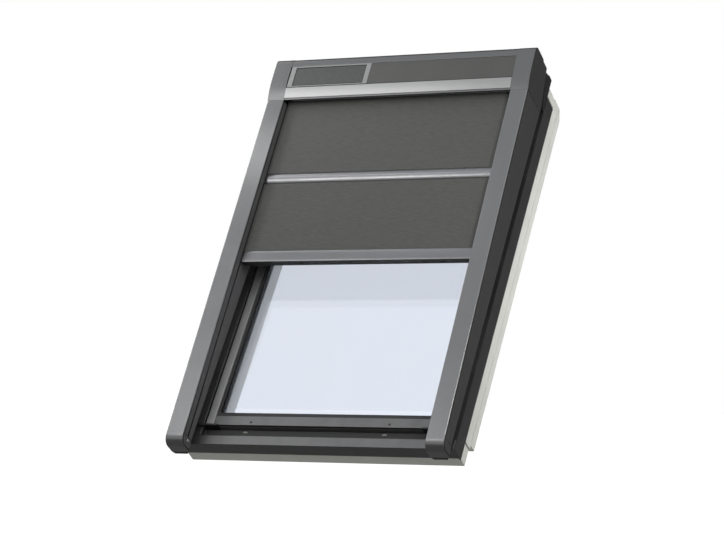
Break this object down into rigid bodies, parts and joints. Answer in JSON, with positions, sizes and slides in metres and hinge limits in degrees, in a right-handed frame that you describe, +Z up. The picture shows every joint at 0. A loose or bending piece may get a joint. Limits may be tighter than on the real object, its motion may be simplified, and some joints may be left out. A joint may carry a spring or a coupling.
{
  "type": "roof window with roller shutter",
  "caption": "Centre-pivot roof window with an outside solar fabric roller shutter in side rails, half lowered over the glass.",
  "frame": {"origin": "middle of the frame sill's down-slope end face, between its lower edge and the frame's shoulder", "axes": "+X across the window to the right jamb as seen from outside, +Z up, -Y out of the roof towards a viewer; the window plane leans back at 54.5 degrees to the horizontal, as in the picture"},
  "size_m": [0.78, 0.8309, 1.1028],
  "materials": {
    "white_frame": "white polyurethane, satin",
    "white_sash": "white polyurethane, satin",
    "cladding": "dark grey satin lacquer on folded aluminium sheet",
    "painted_rail": "anthracite metallic lacquer on extruded aluminium",
    "painted_headbox": "anthracite metallic lacquer on extruded aluminium",
    "inset_panel": "matte anthracite lacquer on aluminium",
    "brushed_aluminium": "brushed and anodised",
    "bar_aluminium": "satin anodised",
    "slat_aluminium": "anthracite satin lacquer on extruded aluminium",
    "solar_glass": "dark toughened cover over solar cells",
    "shade_fabric": "coated polyester, matte",
    "window_glass": "clear, coated",
    "rubber": "matte",
    "black_steel": "black powder coat",
    "steel": "zinc plated",
    "black_plastic": "matte",
    "nylon": "satin"
  },
  "bodies": {
    "frame": {"frame_jamb_left": "white_frame", "frame_jamb_right": "white_frame", "frame_sill": "white_frame", "frame_head": "white_frame", "jamb_cover_left": "cladding", "jamb_cover_right": "cladding", "sill_cover": "cladding", "sill_seal": "rubber", "head_hood": "cladding", "hinge_bracket_left": "black_steel", "hinge_bracket_right": "black_steel", "pivot_plate_left": "steel", "pivot_plate_right": "steel"},
    "sash": {"sash_stile_left": "white_sash", "sash_stile_right": "white_sash", "sash_bottom_rail": "white_sash", "sash_top_rail": "white_sash", "sash_cover_left": "cladding", "sash_cover_right": "cladding", "sash_cover_bottom": "cladding", "sash_cover_top": "cladding", "pane_outer": "window_glass", "pane_inner": "window_glass", "pane_spacer": "black_plastic", "glazing_gasket": "rubber", "pivot_pin_left": "steel", "pivot_pin_right": "steel", "guide_arm_left": "black_steel", "guide_arm_right": "black_steel", "guide_wheel_left": "nylon", "guide_wheel_right": "nylon", "control_bar_carrier": "steel"},
    "control_bar": {"control_bar": "bar_aluminium"},
    "shutter": {"side_rail_left": "painted_rail", "side_rail_right": "painted_rail", "rail_end_left": "painted_rail", "rail_end_right": "painted_rail", "headbox_cap_left": "painted_headbox", "headbox_cap_right": "painted_headbox", "headbox_front": "painted_headbox", "headbox_back": "painted_headbox", "trim_strip": "brushed_aluminium", "solar_frame": "brushed_aluminium", "solar_panel": "solar_glass", "inset_panel": "inset_panel", "battery_pack": "black_plastic", "hinge_lug_left": "black_steel", "hinge_lug_right": "black_steel", "idler_bracket": "steel", "tube_motor": "steel", "fabric_panel_4": "shade_fabric"},
    "roller": {"roller_tube": "steel", "fabric_roll": "shade_fabric"},
    "slat_3": {"slat_3": "slat_aluminium", "fabric_panel_3": "shade_fabric"},
    "slat_2": {"slat_2": "slat_aluminium", "fabric_panel_2": "shade_fabric"},
    "slat_1": {"slat_1": "slat_aluminium", "fabric_panel_1": "shade_fabric"},
    "bottom_bar": {"bottom_bar": "slat_aluminium"}
  },
  "joints": [
    {"name": "sash_pivot", "type": "hinge", "parent": "frame", "child": "sash", "pos_m": [0, 0.31562, 0.49897], "axis": [-1, 0, 0], "range_deg": [0, 45]},
    {"name": "shutter_hinge", "type": "hinge", "parent": "frame", "child": "shutter", "pos_m": [0, 0.60281, 1.02558], "axis": [-1, 0, 0], "range_deg": [0, 21.21]},
    {"name": "control_bar_hinge", "type": "hinge", "parent": "sash", "child": "control_bar", "pos_m": [0, 0.658, 0.89287], "axis": [1, 0, 0], "range_deg": [0, 50]},
    {"name": "slat_3_slide", "type": "slide", "parent": "shutter", "child": "slat_3", "axis": [0, -0.5344, -0.8453], "range_m": [0, 0.292], "deforming": ["fabric_panel_4"]},
    {"name": "slat_2_slide", "type": "slide", "parent": "slat_3", "child": "slat_2", "axis": [0, -0.5344, -0.8453], "range_m": [-0.037, 0.212], "deforming": ["fabric_panel_3"]},
    {"name": "slat_1_slide", "type": "slide", "parent": "slat_2", "child": "slat_1", "axis": [0, -0.5344, -0.8453], "range_m": [-0.249, 0], "deforming": ["fabric_panel_2"]},
    {"name": "bottom_bar_slide", "type": "slide", "parent": "slat_1", "child": "bottom_bar", "axis": [0, -0.5344, -0.8453], "range_m": [-0.207, 0], "deforming": ["fabric_panel_1"]},
    {"name": "roller_turn", "type": "hinge", "parent": "shutter", "child": "roller", "pos_m": [0, 0.53933, 1.00072], "axis": [1, 0, 0], "range_deg": [0, 620]}
  ],
  "couplings": [
    {"joint": "shutter_hinge", "follows": "sash_pivot", "ratio": 0.4713},
    {"joint": "roller_turn", "follows": "slat_3_slide", "rad_per_m": 37.037}
  ]
}
